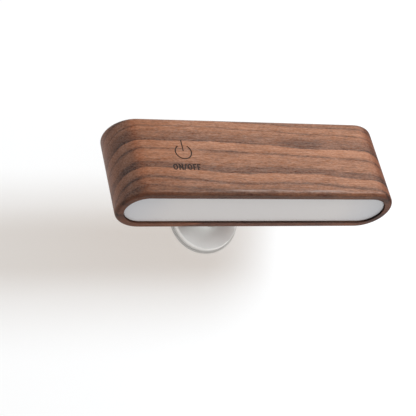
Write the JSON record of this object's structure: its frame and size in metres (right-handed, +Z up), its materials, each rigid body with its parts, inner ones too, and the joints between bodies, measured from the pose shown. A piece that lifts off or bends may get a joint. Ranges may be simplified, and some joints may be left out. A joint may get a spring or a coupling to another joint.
{
  "type": "desk lamp",
  "caption": "Cordless walnut bar light with a recessed opal diffuser and a touch switch, on a tilting, swivelling stem over a turned metal foot.",
  "frame": {"origin": "centre of the foot's underside, where the lamp rests on a desk", "axes": "+Z up along the stem, +X along the head, +Y away from the face that gives the light"},
  "size_m": [0.17, 0.0611, 0.1005],
  "materials": {
    "walnut": "oiled, satin, open grain along the length",
    "opal_acrylic": "satin opal",
    "white_plastic": "matt, moulded",
    "white_board": "white solder mask",
    "led_yellow": "phosphor in a white package",
    "black_plastic": "fine moulded texture",
    "cell_sleeve": "metal can in a blue shrink sleeve",
    "nickel": "plain strip",
    "green_board": "green solder mask",
    "component_grey": "moulded packages",
    "zinc_screw": "zinc plated",
    "brass": "turned, knurled",
    "copper": "bare copper foil",
    "stainless": "satin stainless",
    "clear_plastic": "clear acrylic rod",
    "red_insulation": "silicone insulation",
    "black_insulation": "silicone insulation",
    "white_insulation": "silicone insulation",
    "steel_plate": "plain rolled steel",
    "satin_aluminium": "satin anodised",
    "turned_aluminium": "turned, satin, rings on the top face",
    "acetal": "low-friction acetal",
    "foot_rubber": "matt pale silicone rubber"
  },
  "bodies": {
    "foot": {"foot_base": "turned_aluminium", "swivel_bush": "acetal", "foot_weight": "steel_plate", "weight_screws": "zinc_screw", "foot_pad": "foot_rubber"},
    "stem": {"stem": "satin_aluminium", "swivel_washer": "zinc_screw", "swivel_screw": "zinc_screw"},
    "head": {"wood_housing": "walnut", "diffuser": "opal_acrylic", "reflector": "white_plastic", "led_board": "white_board", "led_chips": "led_yellow", "led_screws": "zinc_screw", "chassis": "black_plastic", "chassis_screws": "zinc_screw", "chassis_inserts": "brass", "battery_cell": "cell_sleeve", "battery_tabs": "nickel", "battery_cradle": "black_plastic", "battery_straps": "white_plastic", "control_board": "green_board", "board_screws": "zinc_screw", "board_components": "component_grey", "lead_connectors": "white_plastic", "usb_socket": "stainless", "usb_bezel": "black_plastic", "status_light_pipe": "clear_plastic", "touch_electrode": "copper", "cell_lead_red": "red_insulation", "cell_lead_black": "black_insulation", "led_lead_red": "red_insulation", "led_lead_black": "black_insulation", "touch_lead": "white_insulation", "hinge_bracket": "satin_aluminium", "backing_plate": "steel_plate", "bracket_screws": "zinc_screw", "friction_washers": "acetal", "hinge_pin": "stainless", "hinge_nut": "stainless"}
  },
  "joints": [
    {"name": "stem_swivel", "type": "hinge", "parent": "foot", "child": "stem", "pos_m": [0, 0, 0.0137], "axis": [0, 0, 1], "continuous": true},
    {"name": "head_tilt", "type": "hinge", "parent": "stem", "child": "head", "pos_m": [0, 0, 0.0521], "axis": [1, 0, 0], "range_deg": [-34.6, 75.4]}
  ]
}
